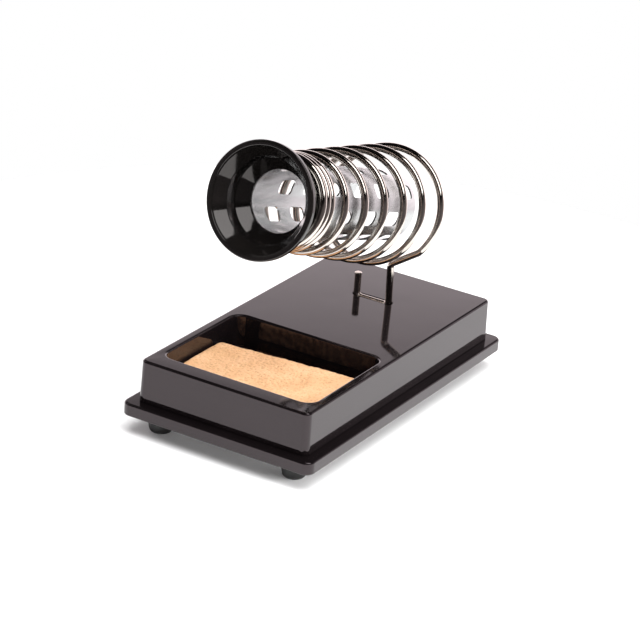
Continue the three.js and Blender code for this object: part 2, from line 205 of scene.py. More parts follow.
CAMERA_AZIMUTH = 29.52  # degrees from -Y towards +X
CAMERA_ELEVATION = 23.42
CAMERA_ROLL = 4.56
CAMERA_DISTANCE = 1.298
CAMERA_LENS = 160.3
CAMERA_TARGET = Vector((0.0, -0.0022, 0.0389))

STUDIO_MIDDLE = Vector((0, 0, 0.06))
TABLE_RADIUS = 0.3
TABLE_DROP = 0.0002
BACKDROP_TINT = (1.0, 0.90, 0.93)
BACKDROP_BY_HEIGHT = [(0.0, 2.15), (0.32, 2.15), (0.48, 0.04), (1.0, 0.03)]
BACKDROP_BY_FRONT = [(-0.62, 1.0), (-0.3, 0.2), (0.3, 0.08), (1.0, 0.05)]
SOFTBOXES = {
    "overhead": {"toward": (0.05, 0.05, 1.0), "width": 1.6, "height": 1.6, "power": 27, "mirrored": False},
    "fill_front": {"toward": (0.2, -0.95, 0.22), "width": 1.2, "height": 0.5, "power": 7, "mirrored": False},
    "fill_right": {"toward": (0.95, 0.15, 0.25), "width": 1.2, "height": 0.5, "power": 20, "mirrored": False},
    "softbox_right": {"toward": (0.50, -0.13, 0.86), "width": 0.6, "height": 1.05, "power": 7.5},
    "softbox_left": {"toward": (-0.72, -0.30, 0.63), "width": 0.5, "height": 0.5, "power": 0.8},
}
SOFTBOX_DISTANCE = 1.2


# ------------------------------------------------------------------ mesh tools

def finish_mesh(name, bm, body, replaces=(), sharp=40):
    """Turns a bmesh in millimetres into a smooth-shaded piece that rides on a body."""
    bmesh.ops.remove_doubles(bm, verts=bm.verts, dist=1e-4)
    bmesh.ops.recalc_face_normals(bm, faces=bm.faces)
    bmesh.ops.scale(bm, vec=(MM, MM, MM), verts=bm.verts)
    mesh = bpy.data.meshes.new(name)
    bm.to_mesh(mesh)
    bm.free()
    mesh.shade_smooth()
    mesh.set_sharp_from_angle(angle=math.radians(sharp))
    piece = bpy.data.objects.new(name, mesh)
    bpy.context.scene.collection.objects.link(piece)
    weighted = piece.modifiers.new("even_normals", "WEIGHTED_NORMAL")
    weighted.keep_sharp = True
    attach(piece, body)
    if replaces:
        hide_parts(*replaces)
    return piece


def skin(bm, rings):
    """Quads between rings of equal length. Returns the rings as vertices."""
    made = [[bm.verts.new(point) for point in ring] for ring in rings]
    for lower, upper in zip(made, made[1:]):
        count = len(lower)
        for i in range(count):
            j = (i + 1) % count
            bm.faces.new((lower[i], lower[j], upper[j], upper[i]))
    return made


def ring_edges(bm, ring):
    """The edges round a ring of vertices, made where they are missing."""
    edges = []
    for a, b in zip(ring, ring[1:] + ring[:1]):
        edge = bm.edges.get((a, b)) or bm.edges.new((a, b))
        edges.append(edge)
    return edges


def fill_between(bm, rings, up=1):
    """A flat face between an outer ring and any holes in it, facing up (1) or down (-1)."""
    edges = [edge for ring in rings for edge in ring_edges(bm, ring)]
    bmesh.ops.triangle_fill(bm, edges=edges, use_beauty=True, normal=(0, 0, up))


def rounded_ring(half_x, half_y, corner, z, middle_y=0.0, per_corner=14):
    """Points round a rounded rectangle at one height."""
    points = []
    for quarter, (sx, sy) in enumerate(((1, 1), (-1, 1), (-1, -1), (1, -1))):
        for step in range(per_corner + 1):
            angle = math.pi / 2 * (quarter + step / per_corner)
            x = sx * (half_x - corner) + corner * math.cos(angle)
            y = sy * (half_y - corner) + corner * math.sin(angle)
            points.append(Vector((x, middle_y + y, z)))
    return points


def arc_steps(first, last, steps):
    """Angles in radians from first to last degrees, both included."""
    return [math.radians(first + (last - first) * i / steps) for i in range(steps + 1)]


def soften(points, radii, steps=5):
    """A closed 2-D outline with its corners rounded: each corner has its own radius."""
    count = len(points)
    result = []
    for i, (point, radius) in enumerate(zip(points, radii)):
        if radius == 0:
            result.append(Vector(point))
            continue
        corner = Vector(point)
        back = Vector(points[i - 1]) - corner
        ahead = Vector(points[(i + 1) % count]) - corner
        turn = math.pi - back.angle(ahead)
        reach = min(radius * math.tan(turn / 2), 0.45 * back.length, 0.45 * ahead.length)
        start = corner + back.normalized() * reach
        end = corner + ahead.normalized() * reach
        for k in range(steps + 1):
            t = k / steps
            result.append((1 - t) ** 2 * start + 2 * t * (1 - t) * corner + t * t * end)
    return result


def turned(bm, outline, segments, matrix=Matrix.Identity(4)):
    """Revolves a closed (radius, along) outline about +Y."""
    rings = []
    for radius, along in outline:
        ring = []
        for i in range(segments):
            angle = 2 * math.pi * i / segments
            ring.append(matrix @ Vector((radius * math.cos(angle), along, radius * math.sin(angle))))
        rings.append(ring)
    made = skin(bm, rings)
    first, last = made[0], made[-1]
    for i in range(segments):
        j = (i + 1) % segments
        bm.faces.new((last[i], last[j], first[j], first[i]))


def swept(bm, path, radius, sides, end_chamfer):
    """A round bar along a path, with its section carried on without twist."""
    tangents = []
    for i, point in enumerate(path):
        before = path[max(i - 1, 0)]
        after = path[min(i + 1, len(path) - 1)]
        tangents.append((after - before).normalized())
    side = tangents[0].orthogonal().normalized()
    rings = []
    for i, (point, tangent) in enumerate(zip(path, tangents)):
        side = (side - tangent * side.dot(tangent)).normalized()
        other = tangent.cross(side)
        rings.append((point, side.copy(), other, radius))
    start = path[0] - tangents[0] * end_chamfer
    end = path[-1] + tangents[-1] * end_chamfer
    rings.insert(0, (start, rings[0][1], rings[0][2], radius - end_chamfer))
    rings.append((end, rings[-1][1], rings[-1][2], radius - end_chamfer))
    points = []
    for centre, across, other, size in rings:
        ring = []
        for k in range(sides):
            angle = 2 * math.pi * k / sides
            ring.append(centre + size * (math.cos(angle) * across + math.sin(angle) * other))
        points.append(ring)
    made = skin(bm, points)
    bm.faces.new(made[0])
    bm.faces.new(made[-1])


def upright_bars(places, radius, low, high, sides=40):
    """Round bars along Z at (x, y) places, from one height to another."""
    bm = bmesh.new()
    for x, y in places:
        rings = []
        for z in (low, high):
            angles = [2 * math.pi * i / sides for i in range(sides)]
            rings.append([Vector((x + radius * math.cos(a), y + radius * math.sin(a), z)) for a in angles])
        made = skin(bm, rings)
        bm.faces.new(made[0])
        bm.faces.new(made[1])
    return bm


def combine(operation, piece_bm, tool_bm):
    """Blender's exact boolean: "UNION", or "DIFFERENCE" for piece minus tool. Both are used up."""
    objects = []
    for name, bm in (("joined_piece", piece_bm), ("joined_tool", tool_bm)):
        bmesh.ops.remove_doubles(bm, verts=bm.verts, dist=1e-5)
        bmesh.ops.recalc_face_normals(bm, faces=bm.faces)
        mesh = bpy.data.meshes.new(name)
        bm.to_mesh(mesh)
        bm.free()
        obj = bpy.data.objects.new(name, mesh)
        bpy.context.scene.collection.objects.link(obj)
        objects.append(obj)
    piece, tool = objects
    boolean = piece.modifiers.new("combine", "BOOLEAN")
    boolean.operation = operation
    boolean.solver = "EXACT"
    boolean.object = tool
    bpy.context.view_layer.update()
    evaluated = piece.evaluated_get(bpy.context.evaluated_depsgraph_get())
    result = bmesh.new()
    result.from_mesh(evaluated.to_mesh())
    evaluated.to_mesh_clear()
    for obj in objects:
        mesh = obj.data
        bpy.data.objects.remove(obj)
        bpy.data.meshes.remove(mesh)
    return result


# ------------------------------------------------------------------ materials

class Shader:
    """A Principled material and short calls for the nodes that feed it."""

    def __init__(self, name, **values):
        self.material = bpy.data.materials.new(name)
        self.material.use_nodes = True
        self.tree = self.material.node_tree
        self.surface = self.tree.nodes["Principled BSDF"]
        self.place = self.tree.nodes.new("ShaderNodeTexCoord").outputs["Object"]
        for socket, value in values.items():
            self.surface.inputs[socket.replace("_", " ")].default_value = value

    def node(self, kind, links, **values):
        """A node with its settings, and each input linked to a socket or set to a value."""
        made = self.tree.nodes.new(kind)
        for key, value in values.items():
            setattr(made, key, value)
        for socket, source in links.items():
            if isinstance(source, bpy.types.NodeSocket):
                self.tree.links.new(source, made.inputs[socket])
            else:
                made.inputs[socket].default_value = source
        return made

    def stretched(self, scale):
        """Object coordinates scaled along each axis."""
        return self.node("ShaderNodeMapping", {"Vector": self.place, "Scale": scale}).outputs[0]

    def grain(self, scale, detail=4.0, roughness=0.55, vector=None):
        links = {"Vector": vector or self.place, "Scale": scale, "Detail": detail, "Roughness": roughness}
        return self.node("ShaderNodeTexNoise", links).outputs["Fac"]

    def cells(self, scale):
        """The distance to the nearest cell's centre."""
        links = {"Vector": self.place, "Scale": scale}
        return self.node("ShaderNodeTexVoronoi", links).outputs["Distance"]

    def span(self, source, low, high, start=0.0, end=1.0):
        """Maps start..end of a value on to low..high, and clamps it."""
        links = {"Value": source, "From Min": start, "From Max": end, "To Min": low, "To Max": high}
        return self.node("ShaderNodeMapRange", links).outputs["Result"]

    def ramp(self, source, stops):
        """A colour from (position, colour) stops."""
        made = self.node("ShaderNodeValToRGB", {"Fac": source})
        while len(made.color_ramp.elements) < len(stops):
            made.color_ramp.elements.new(0.5)
        for element, (position, color) in zip(made.color_ramp.elements, stops):
            element.position = position
            element.color = (*color, 1)
        return made.outputs["Color"]

    def math(self, operation, a, b):
        return self.node("ShaderNodeMath", {0: a, 1: b}, operation=operation).outputs[0]

    def mix(self, factor, color, source):
        """A colour where the factor is 0, the source's colour where it is 1."""
        made = self.node("ShaderNodeMix", {}, data_type="RGBA")
        share, first, second = made.inputs[0], made.inputs[6], made.inputs[7]
        self.tree.links.new(factor, share)
        first.default_value = (*color, 1)
        self.tree.links.new(source, second)
        return made.outputs[2]

    def feed(self, socket, source):
        self.tree.links.new(source, self.surface.inputs[socket])

    def bump(self, height, distance_mm):
        """Adds relief on top of what the normal already has."""
        links = {"Height": height, "Distance": distance_mm * MM, "Strength": 1.0}
        made = self.node("ShaderNodeBump", links)
        previous = self.surface.inputs["Normal"]
        if previous.is_linked:
            self.tree.links.new(previous.links[0].from_socket, made.inputs["Normal"])
        self.feed("Normal", made.outputs["Normal"])


def gloss_plastic(name, dark, light, tint, rough_low, rough_high, ripple_mm):
    """Moulded black plastic: a faint colour drift, hairlines and dust in the gloss, slow ripples."""
    shader = Shader(name, IOR=1.53)
    shader.surface.inputs["Specular Tint"].default_value = (*tint, 1)
    shader.feed("Base Color", shader.ramp(shader.grain(35), [(0.3, dark), (0.7, light)]))
    hairline = shader.grain(90, 2.0, 0.6, shader.stretched((14, 1.0, 14)))
    dust = shader.span(shader.grain(2600, 2.0), 0, 0.02, 0.62, 0.72)
    gloss = shader.span(hairline, rough_low, rough_high, 0.35, 0.7)
    shader.feed("Roughness", shader.math("ADD", gloss, dust))
    shader.bump(shader.grain(55, 1.0), ripple_mm)
    shader.bump(shader.grain(1500, 3.0), 0.0002)
    return shader.material


def metal(name, tint, worn, rough, scale, stretch, bump_mm):
    """Bright metal with drawing or rolling lines along the axis that is stretched."""
    shader = Shader(name, Metallic=1.0)
    streaks = shader.grain(scale, 3.0, 0.6, shader.stretched(stretch))
    blotch = shader.grain(60, 3.0)
    patches = shader.math("MULTIPLY", streaks, blotch)
    shader.feed("Base Color", shader.ramp(patches, [(0.1, worn), (0.34, tint)]))
    shader.feed("Roughness", shader.span(streaks, *rough, 0.3, 0.7))
    shader.bump(streaks, bump_mm)
    return shader.material


def rubber(name):
    """Moulded black rubber with a fine grain."""
    shader = Shader(name, IOR=1.48)
    shades = [(0.35, (0.005, 0.005, 0.005)), (0.7, (0.013, 0.0125, 0.012))]
    shader.feed("Base Color", shader.ramp(shader.grain(180), shades))
    shader.feed("Roughness", shader.span(shader.grain(400), 0.3, 0.5, 0.35, 0.65))
    shader.bump(shader.grain(1800, 3.0), 0.01)
    return shader.material


def cellulose(name):
    """Dry sponge: tan with lighter fibres, and pores of two sizes darkened with painted shade."""
    shader = Shader(name, IOR=1.4, Subsurface_Weight=0.12, Subsurface_Scale=0.002)
    shader.surface.inputs["Subsurface Radius"].default_value = (1.0, 0.6, 0.35)
    pores = shader.cells(620)
    fine = shader.cells(1500)
    shades = [(0.3, (0.66, 0.37, 0.19)), (0.55, (0.78, 0.46, 0.25)), (0.8, (0.87, 0.54, 0.32))]
    patches = shader.ramp(shader.grain(70, 5.0), shades)
    large_pore_shade = shader.span(pores, 0.45, 1, 0.12, 0.42)
    fine_pore_shade = shader.span(fine, 0.72, 1, 0.1, 0.4)
    # The pores of both sizes are darkened towards their middles: painted shade in the pits, on top of their
    # bumped relief.
    shader.feed("Base Color", shader.mix(shader.math("MULTIPLY", large_pore_shade, fine_pore_shade), (0.42, 0.22, 0.10), patches))
    shader.feed("Roughness", shader.span(pores, 1.0, 0.85, 0.1, 0.5))
    shader.bump(pores, 0.25)
    shader.bump(fine, 0.1)
    return shader.material


def pale_floor(name):
    """Matt near-white, with a slow drift in tone."""
    shader = Shader(name)
    shades = [(0.3, (0.90, 0.90, 0.90)), (0.7, (0.93, 0.93, 0.93))]
    shader.feed("Base Color", shader.ramp(shader.grain(6), shades))
    shader.feed("Roughness", shader.span(shader.grain(20), 0.75, 0.85, 0.3, 0.7))
    return shader.material


PLASTIC = gloss_plastic(
    "gloss_black_plastic", (0.004, 0.003, 0.0033), (0.006, 0.0044, 0.0048), (1.0, 0.86, 0.90),
    0.05, 0.09, 0.012,
)
PHENOLIC = gloss_plastic(
    "black_phenolic", (0.004, 0.0036, 0.0036), (0.007, 0.006, 0.0055), (1.0, 0.95, 0.93),
    0.05, 0.1, 0.01,
)
RUBBER = rubber("black_rubber")
SPONGE = cellulose("sponge_cellulose")
NICKEL = metal("nickel_wire", (0.66, 0.60, 0.55), (0.54, 0.48, 0.43), (0.08, 0.14), 300, (1, 1, 1), 0.0002)
SHEET = metal("bright_steel", (0.47, 0.48, 0.48), (0.41, 0.42, 0.42), (0.2, 0.26), 500, (1, 0.08, 1), 0.0002)
ZINC = metal("zinc_steel", (0.70, 0.71, 0.68), (0.52, 0.53, 0.50), (0.28, 0.42), 220, (1, 1, 1), 0.006)
BALLAST = metal("ballast_steel", (0.34, 0.35, 0.36), (0.22, 0.22, 0.23), (0.45, 0.65), 220, (1, 0.1, 1), 0.01)


# ------------------------------------------------------------------ base

def base_housing():
    """The moulded box: softened top edges, the sponge well and the wire slot, as one shell."""
    bm = bmesh.new()
    rings = [rounded_ring(HOUSING_HIGH.x, HOUSING_HIGH.y, BODY_CORNER, HOUSING_LOW.z)]
    for angle in arc_steps(0, 90, 8):
        inset = BODY_EDGE * (1 - math.cos(angle))
        z = BODY_TOP - BODY_EDGE * (1 - math.sin(angle))
        rings.append(rounded_ring(BODY_HALF_X - inset, BODY_HALF_Y - inset, BODY_CORNER - inset, z))
    outer = skin(bm, rings)

    floor = BODY_TOP - WELL_DEPTH
    rings = []
    for angle in arc_steps(0, 90, 7):
        out = WELL_LIP * (1 - math.sin(angle))
        z = BODY_TOP - WELL_LIP * (1 - math.cos(angle))
        rings.append(rounded_ring(WELL_HALF_X + out, WELL_HALF_Y + out, WELL_CORNER + out, z, WELL_MIDDLE))
    for angle in arc_steps(0, 90, 8):
        inset = WELL_DRAFT + WELL_FILLET * (1 - math.cos(angle))
        z = floor + WELL_FILLET * (1 - math.sin(angle))
        corner = max(WELL_CORNER - inset, WELL_FLOOR_CORNER)
        rings.append(rounded_ring(WELL_HALF_X - inset, WELL_HALF_Y - inset, corner, z, WELL_MIDDLE))
    well = skin(bm, rings)
    bm.faces.new(well[-1])

    ceiling = BODY_TOP - TOP_WALL
    rings = []
    for angle in arc_steps(0, 90, 4):
        out = SLOT_LIP * (1 - math.sin(angle))
        z = BODY_TOP - SLOT_LIP * (1 - math.cos(angle))
        half_x, half_y = SLOT_HALF_LENGTH + out, SLOT_HALF_WIDTH + out
        rings.append(rounded_ring(half_x, half_y, half_y - SLOT_END_FLAT, z, LEG_BACK, 6))
    slot_corner = SLOT_HALF_WIDTH - SLOT_END_FLAT
    rings.append(rounded_ring(SLOT_HALF_LENGTH, SLOT_HALF_WIDTH, slot_corner, ceiling, LEG_BACK, 6))
    slot = skin(bm, rings)
    fill_between(bm, [outer[-1], well[0], slot[0]])

    inner_x, inner_y = BODY_HALF_X - WALL, BODY_HALF_Y - WALL
    inner = skin(bm, [
        rounded_ring(inner_x, inner_y, BODY_CORNER / 2, HOUSING_LOW.z),
        rounded_ring(inner_x, inner_y, BODY_CORNER / 2, ceiling),
    ])
    tray_x, tray_y, tray_corner = WELL_HALF_X + WELL_WALL, WELL_HALF_Y + WELL_WALL, WELL_CORNER + WELL_WALL
    tray = skin(bm, [
        rounded_ring(tray_x, tray_y, tray_corner, ceiling, WELL_MIDDLE),
        rounded_ring(tray_x, tray_y, tray_corner, floor - WELL_WALL, WELL_MIDDLE),
    ])
    bm.faces.new(tray[-1])
    fill_between(bm, [inner[-1], tray[0], slot[-1]], -1)
    fill_between(bm, [outer[0], inner[0]], -1)

    boss_roof = ceiling + TOP_WALL / 2
    socket_boss_foot = ceiling - SOCKET_BOSS_HEIGHT
    bm = combine("UNION", bm, upright_bars(FOOT_SCREWS, FOOT_BOSS_RADIUS, HOUSING_LOW.z, boss_roof))
    bm = combine("UNION", bm, upright_bars(SOCKET_SCREWS, SOCKET_BOSS_RADIUS, socket_boss_foot, boss_roof))
    holes = upright_bars(FOOT_SCREWS, SCREW_HOLE, HOUSING_LOW.z - 1, BODY_TOP - FOOT_HOLE_ROOF)
    bm = combine("DIFFERENCE", bm, holes)
    holes = upright_bars(SOCKET_SCREWS, SCREW_HOLE, socket_boss_foot - 1, BODY_TOP - SOCKET_HOLE_ROOF)
    bm = combine("DIFFERENCE", bm, holes)
    piece = finish_mesh("housing_shell", bm, "base", ("base_housing",))
    piece.data.materials.append(PLASTIC)


def base_plate():
    """The wider plate under the housing, with softened edges and a pocket for the ballast."""
    bm = bmesh.new()
    half_x, half_y = PLATE_HIGH.x, PLATE_HIGH.y
    rings = []
    for angle in arc_steps(0, 90, 5):
        inset = PLATE_BOTTOM_EDGE * (1 - math.sin(angle))
        z = PLATE_LOW.z + PLATE_BOTTOM_EDGE * (1 - math.cos(angle))
        rings.append(rounded_ring(half_x - inset, half_y - inset, PLATE_CORNER - inset, z))
    for angle in arc_steps(0, 90, 7):
        inset = PLATE_TOP_EDGE * (1 - math.cos(angle))
        z = PLATE_HIGH.z - PLATE_TOP_EDGE * (1 - math.sin(angle))
        rings.append(rounded_ring(half_x - inset, half_y - inset, PLATE_CORNER - inset, z))
    outer = skin(bm, rings)
    bm.faces.new(outer[0])
    pocket_x, pocket_y = half_x - POCKET_SIDE_WALL, half_y - POCKET_END_WALL
    pocket = skin(bm, [
        rounded_ring(pocket_x, pocket_y, POCKET_CORNER, PLATE_HIGH.z),
        rounded_ring(pocket_x, pocket_y, POCKET_CORNER, PLATE_LOW.z + PLATE_FLOOR),
    ])
    bm.faces.new(pocket[-1])
    fill_between(bm, [outer[-1], pocket[0]])
    holes = upright_bars(FOOT_SCREWS + BALLAST_SCREWS, SCREW_HOLE, PLATE_LOW.z - 1, PLATE_HIGH.z + 1)
    bm = combine("DIFFERENCE", bm, holes)
    piece = finish_mesh("plate_moulding", bm, "base", ("base_plate",))
    piece.data.materials.append(PLASTIC)


def foot(node):
    """A round rubber foot with a domed edge below and a recess for its washer and screw."""
    low, high = box_mm(node)
    middle = (low + high) / 2
    radius = (high.x - low.x) / 2
    height = high.z - low.z
    corners = [
        ((FOOT_RECESS, 0.3), 0.1),
        ((FOOT_RECESS + 0.2, 0.0), 0.1),
        ((FOOT_RECESS + 0.6, 0.0), 0.6),
        ((radius - 0.3, 0.9), 1.5),
        ((radius, 2.4), 2.0),
        ((radius, height), 0.6),
        ((SCREW_HOLE, height), 0),
        ((SCREW_HOLE, FOOT_SEAT), 0),
        ((FOOT_RECESS, FOOT_SEAT), 0.3),
    ]
    bm = bmesh.new()
    upright = Matrix.Translation((middle.x, middle.y, low.z)) @ Matrix.Rotation(math.pi / 2, 4, "X")
    turned(bm, soften(*zip(*corners)), 56, upright)
    piece = finish_mesh(node.replace("foot", "rubber_foot"), bm, "base", (node,))
    piece.data.materials.append(RUBBER)


# ------------------------------------------------------------------ sponge

def sponge():
    """A dry cellulose block: pitted faces, worn edges, a torn back edge, and a warp up at its right."""
    size = SPONGE_HIGH - SPONGE_LOW
    middle = (SPONGE_HIGH + SPONGE_LOW) / 2
    counts = [max(2, round(size[axis] / SPONGE_GRID)) for axis in range(3)]
    half = size / 2
    bm = bmesh.new()
    grid = {}

    def vertex(i, j, k):
        if (i, j, k) not in grid:
            point = Vector((
                -half.x + size.x * i / counts[0],
                -half.y + size.y * j / counts[1],
                -half.z + size.z * k / counts[2],
            ))
            grid[(i, j, k)] = bm.verts.new(point)
        return grid[(i, j, k)]

    for axis in range(3):
        u, v = (axis + 1) % 3, (axis + 2) % 3
        for side in (0, counts[axis]):
            for a in range(counts[u]):
                for b in range(counts[v]):
                    quad = []
                    for da, db in ((0, 0), (1, 0), (1, 1), (0, 1)):
                        index = [0, 0, 0]
                        index[axis], index[u], index[v] = side, a + da, b + db
                        quad.append(vertex(*index))
                    bm.faces.new(quad if side else quad[::-1])

    for vert in bm.verts:
        vert.co = rounded_block_point(vert.co, half, SPONGE_CORNER, SPONGE_EDGE)
    bm.normal_update()
    moved = []
    for vert in bm.verts:
        moved.append(sponge_surface(vert.co, vert.normal, half))
    for vert, point in zip(bm.verts, moved):
        vert.co = point + middle
    piece = finish_mesh("sponge_block", bm, "sponge", ("sponge",), sharp=180)
    piece.data.materials.append(SPONGE)


def rounded_block_point(point, half, corner, edge):
    """Pulls a point of a box's surface in to the same box with round corners and edges."""
    inner = Vector((
        max(-half.x + corner, min(half.x - corner, point.x)),
        max(-half.y + corner, min(half.y - corner, point.y)),
        0,
    ))
    flat = Vector((point.x, point.y, 0)) - inner
    if flat.length > 1e-6 and abs(flat.x) > 1e-6 and abs(flat.y) > 1e-6:
        flat = flat * (max(abs(flat.x), abs(flat.y)) / flat.length)
    planar = inner + flat
    rise = abs(point.z) - (half.z - edge)
    reach = flat.length - (corner - edge)
    if rise > 0 and reach > 0:
        over = Vector((reach, rise))
        over = over * (max(reach, rise) / over.length)
        planar = inner + flat.normalized() * (corner - edge + over.x)
        return Vector((planar.x, planar.y, math.copysign(half.z - edge + over.y, point.z)))
    return Vector((planar.x, planar.y, point.z))


def pore_depth(point, scale, shift, reach, depth):
    """How far one size of pores cuts in at a point."""
    return max(0.0, reach - noise.voronoi(point * scale + Vector(shift))[0][0]) * depth


def sponge_surface(point, normal, half):
    """Moves a point in by its pores, warps the block, and tears its back edge."""
    pit = sum(pore_depth(point, **pores) for pores in SPONGE_PORES)
    wave = noise.noise(point * 0.09)
    ragged = 0.35 * noise.noise(point * 0.6)
    moved = point - normal * (pit + SPONGE_SINK + 0.25 * ragged)
    across = point.x / half.x
    share = (point.z + half.z) / (2 * half.z)
    moved.z += share * (SPONGE_WARP * across + SPONGE_WAVE * wave)
    torn = max(0.0, 1 - (half.y - point.y) / TORN_DEPTH)
    jag = noise.noise(Vector((point.x * 0.5, point.z * 0.3, 3)))
    moved.y -= torn * (TORN_PULL + TORN_JAG * jag)
    return moved


# ------------------------------------------------------------------ holder

def mouthpiece():
    """The black funnel: a rolled rim, a flared lip, a step, an inner cone and the bore."""
    corners = [
        ((MOUTH_RADIUS - 1.5, -1.2), 0.8),
        ((MOUTH_RADIUS, -0.9), 1.0),
        ((MOUTH_RADIUS, 1.4), 1.0),
        ((NECK_RADIUS + 1.5, NECK_START - 1.5), 2.0),
        ((NECK_RADIUS, NECK_START), 1.2),
        ((NECK_RADIUS, NECK_END), 0.25),
        ((NECK_INNER, NECK_END), 0.25),
        ((NECK_INNER, BORE_DEPTH), 0),
        ((BORE_RADIUS, BORE_DEPTH), 0.5),
        ((BORE_RADIUS, BORE_DEPTH - 1.7), 1.0),
        ((BORE_RADIUS + 4.9, 11.4), 0.5),
        ((BORE_RADIUS + 5.3, 10.6), 0.5),
        ((BORE_RADIUS + 5.5, 5.2), 1.2),
        ((MOUTH_RADIUS - 2.9, -0.1), 1.5),
        ((MOUTH_RADIUS - 2.4, -1.1), 0.8),
    ]
    bm = bmesh.new()
    turned(bm, soften(*zip(*corners)), 160, HOLDER)
    piece = finish_mesh("mouth_funnel", bm, "holder", ("mouthpiece",))
    piece.data.materials.append(PHENOLIC)


def rounded_cutter(bm, half_x, half_y, corner, depth_low, depth_high, place):
    """A rounded bar along Z for cutting a window."""
    low = [place @ p for p in rounded_ring(half_x, half_y, corner, depth_low, 0, 6)]
    high = [place @ p for p in rounded_ring(half_x, half_y, corner, depth_high, 0, 6)]
    made = skin(bm, [low, high])
    bm.faces.new(made[0])
    bm.faces.new(made[1])


def heat_tube():
    """Rolled sheet with staggered rows of windows."""
    inner = TUBE_RADIUS - TUBE_WALL
    bm = bmesh.new()
    outline = [(inner, 0), (TUBE_RADIUS, 0), (TUBE_RADIUS, TUBE_LENGTH), (inner, TUBE_LENGTH)]
    turned(bm, soften(outline, [0.25] * 4, steps=2), 128)
    cutters = bmesh.new()
    half_x, half_y = WINDOW_WIDTH / 2, WINDOW_LENGTH / 2
    for row in range(WINDOW_ROWS):
        turn = Matrix.Rotation(2 * math.pi * (row + 0.25) / WINDOW_ROWS, 4, "Y")
        along = FIRST_WINDOW + (0 if row % 2 else WINDOW_PITCH / 2)
        while along < LAST_WINDOW:
            place = turn @ Matrix.Translation((0, along, 0))
            rounded_cutter(cutters, half_x, half_y, WINDOW_CORNER, inner - 3, TUBE_RADIUS + 2, place)
            along += WINDOW_PITCH
    bm = combine("DIFFERENCE", bm, cutters)
    bmesh.ops.transform(bm, matrix=HOLDER @ Matrix.Translation((0, TUBE_START, 0)), verts=bm.verts)
    piece = finish_mesh("window_tube", bm, "holder", ("heat_tube",), sharp=35)
    piece.data.materials.append(SHEET)


def neck_sleeve():
    """The plain sheet sleeve on the neck, under the closest turns of the coil."""
    inner, outer = SLEEVE_INNER, SLEEVE_INNER + SLEEVE_WALL
    outline = [(inner, SLEEVE_START), (outer, SLEEVE_START), (outer, NECK_END), (inner, NECK_END)]
    bm = bmesh.new()
    turned(bm, soften(outline, [0.15] * 4, steps=3), 128, HOLDER)
    piece = finish_mesh("sheet_sleeve", bm, "holder", ("neck_sleeve",), sharp=35)
    piece.data.materials.append(SHEET)


def coil_point(turn):
    """A point of the coil, by turns counted forwards from where the leg joins."""
    travelled = turn + TURNS_BEHIND_LEG
    opened = min(travelled, OPEN_TURNS)
    eased = min(max(travelled - OPEN_TURNS, 0), EASE_TURNS)
    closed = max(travelled - OPEN_TURNS - EASE_TURNS, 0)
    along = COIL_BACK_DEPTH - opened * OPEN_PITCH - eased * EASE_PITCH - closed * CLOSE_PITCH
    share = min(travelled / (OPEN_TURNS + EASE_TURNS), 1)
    radius = COIL_BACK_RADIUS + (COIL_FRONT_RADIUS - COIL_BACK_RADIUS) * share - WIRE_RADIUS
    angle = 2 * math.pi * turn
    up = radius * math.sin(angle)
    lean = Vector((0, math.sin(COIL_LEAN), math.cos(COIL_LEAN)))
    return HOLDER @ (Vector((radius * math.cos(angle), along, 0)) + up * lean)


def bend_points(before, corner, after, radius, steps=10):
    """Points round a bend at corner, from the side of before to the side of after."""
    into = (corner - before).normalized()
    out = (after - corner).normalized()
    reach = radius * math.tan(into.angle(out) / 2)
    start = corner - into * reach
    end = corner + out * reach
    shares = [i / steps for i in range(steps + 1)]
    return [(1 - t) ** 2 * start + 2 * t * (1 - t) * corner + t * t * end for t in shares]


def coil_wire():
    """One wire: short post, cross wire in the slot, long leg, and the coil."""
    turns = LAST_TURN - FIRST_TURN
    steps = round(turns * POINTS_PER_TURN)
    coil = [coil_point(FIRST_TURN + turns * i / steps) for i in range(steps + 1)]
    cross_z = BODY_TOP - WIRE_RADIUS + WIRE_PROUD
    leg_foot = Vector((LEG_HALF_SPAN, LEG_BACK, cross_z))
    post_foot = Vector((-LEG_HALF_SPAN, LEG_BACK, cross_z))
    post_top = Vector((-LEG_HALF_SPAN, LEG_BACK, BODY_TOP + POST_HEIGHT - WIRE_CHAMFER))
    elbow = coil[0] + Vector((0, 0, ELBOW_LIFT))
    path = [post_top]
    path += bend_points(post_top, post_foot, leg_foot, WIRE_BEND)
    path += bend_points(post_foot, leg_foot, elbow, WIRE_BEND)
    path += bend_points(leg_foot, elbow, coil[JOINED_POINT], WIRE_BEND)
    path += coil[JOINED_POINT:]
    bm = bmesh.new()
    swept(bm, path, WIRE_RADIUS, 28, WIRE_CHAMFER)
    piece = finish_mesh("spring_wire", bm, "holder", ("coil_wire",))
    piece.data.materials.append(NICKEL)


# ------------------------------------------------------------------ carried-over hardware

def hidden_hardware():
    """The pieces inside and under the base keep their CAD shapes and get real finishes."""
    for name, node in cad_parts.items():
        finish = None
        if "screw" in name or "washer" in name or name == "wire_socket":
            finish = ZINC
        elif name == "ballast_plate":
            finish = BALLAST
        if finish:
            node.data.materials.clear()
            node.data.materials.append(finish)


# ------------------------------------------------------------------ studio

def studio():
    """A round white table top. Past it only the backdrop shows."""
    bm = bmesh.new()
    bmesh.ops.create_circle(bm, cap_ends=True, radius=TABLE_RADIUS, segments=96)
    mesh = bpy.data.meshes.new("floor")
    bm.to_mesh(mesh)
    bm.free()
    floor = bpy.data.objects.new("floor", mesh)
    bpy.context.scene.collection.objects.link(floor)
    floor.location.z = cad_bounds[0][2] - TABLE_DROP
    mesh.materials.append(pale_floor("pale_floor"))


